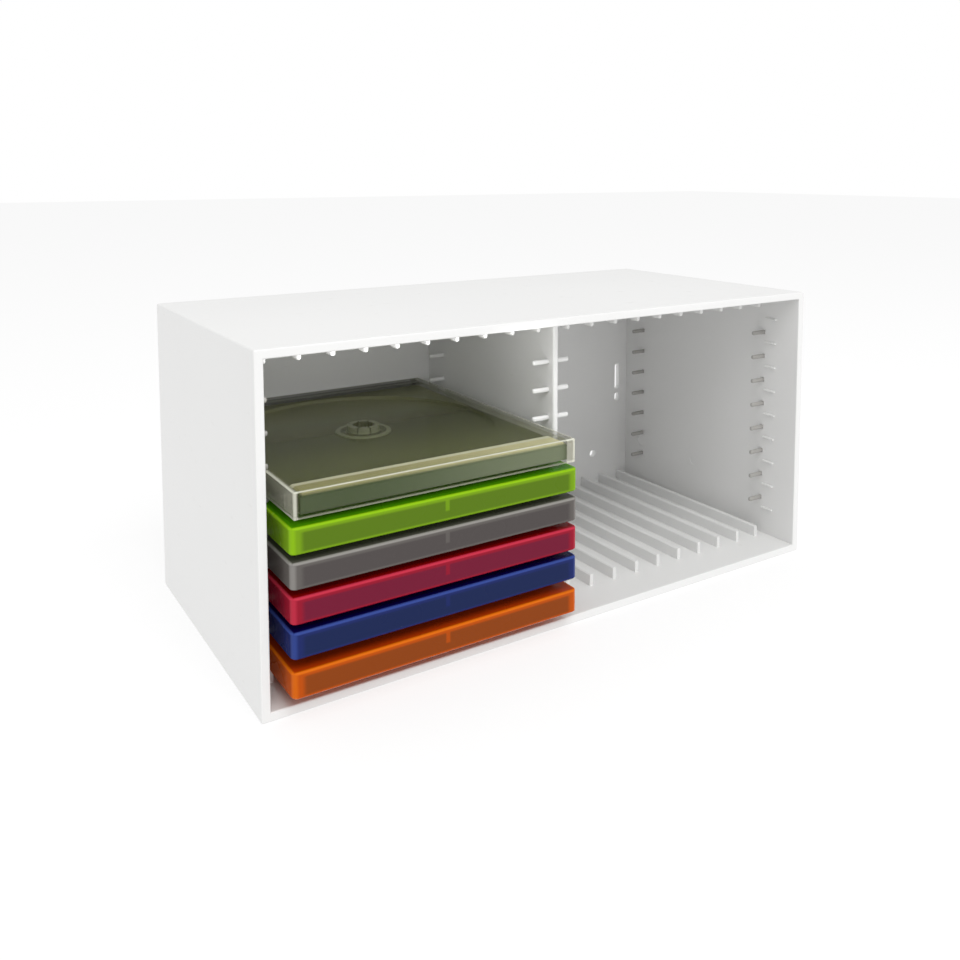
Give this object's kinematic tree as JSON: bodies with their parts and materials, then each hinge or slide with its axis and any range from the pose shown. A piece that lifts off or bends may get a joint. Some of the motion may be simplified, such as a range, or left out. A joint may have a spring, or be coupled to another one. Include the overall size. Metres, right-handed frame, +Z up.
{
  "type": "disc_case_storage_box",
  "caption": "Open-fronted two-bay tabletop box that holds disc cases lying on side pins or standing between floor ribs.",
  "frame": {"origin": "centre of the box's flat underside, on the surface that it stands on", "axes": "+Z up, -Y out of the open front, +X to the right seen from the front"},
  "size_m": [0.289, 0.1463, 0.137],
  "materials": {
    "white_plastic": "satin gloss",
    "clear_plastic": "polished, see-through",
    "smoke_tray_plastic": "polished, smoke tinted",
    "orange_plastic": "translucent, fine satin",
    "blue_plastic": "translucent, fine satin",
    "red_plastic": "translucent, fine satin",
    "smoke_plastic": "translucent, fine satin",
    "green_plastic": "translucent, fine satin"
  },
  "bodies": {
    "box": {"top_panel": "white_plastic", "ceiling_pips": "white_plastic", "base_panel": "white_plastic", "floor_ribs": "white_plastic", "left_side_panel": "white_plastic", "right_side_panel": "white_plastic", "back_panel": "white_plastic", "centre_divider": "white_plastic", "left_wall_pins": "white_plastic", "right_wall_pins": "white_plastic", "divider_pins": "white_plastic"},
    "clear_case": {"clear_case_base": "clear_plastic", "clear_case_tray": "smoke_tray_plastic", "clear_case_lid": "clear_plastic"},
    "orange_case": {"orange_case_shell": "orange_plastic", "orange_case_cover": "orange_plastic"},
    "blue_case": {"blue_case_shell": "blue_plastic", "blue_case_cover": "blue_plastic"},
    "red_case": {"red_case_shell": "red_plastic", "red_case_cover": "red_plastic"},
    "smoke_case": {"smoke_case_shell": "smoke_plastic", "smoke_case_cover": "smoke_plastic"},
    "green_case": {"green_case_shell": "green_plastic", "green_case_cover": "green_plastic"}
  },
  "joints": [
    {"name": "clear_case_slide", "type": "slide", "parent": "box", "child": "clear_case", "axis": [0, -1, 0], "range_m": [0, 0.135]},
    {"name": "orange_case_slide", "type": "slide", "parent": "box", "child": "orange_case", "axis": [0, -1, 0], "range_m": [0, 0.135]},
    {"name": "blue_case_slide", "type": "slide", "parent": "box", "child": "blue_case", "axis": [0, -1, 0], "range_m": [0, 0.135]},
    {"name": "red_case_slide", "type": "slide", "parent": "box", "child": "red_case", "axis": [0, -1, 0], "range_m": [0, 0.135]},
    {"name": "smoke_case_slide", "type": "slide", "parent": "box", "child": "smoke_case", "axis": [0, -1, 0], "range_m": [0, 0.135]},
    {"name": "green_case_slide", "type": "slide", "parent": "box", "child": "green_case", "axis": [0, -1, 0], "range_m": [0, 0.135]}
  ]
}
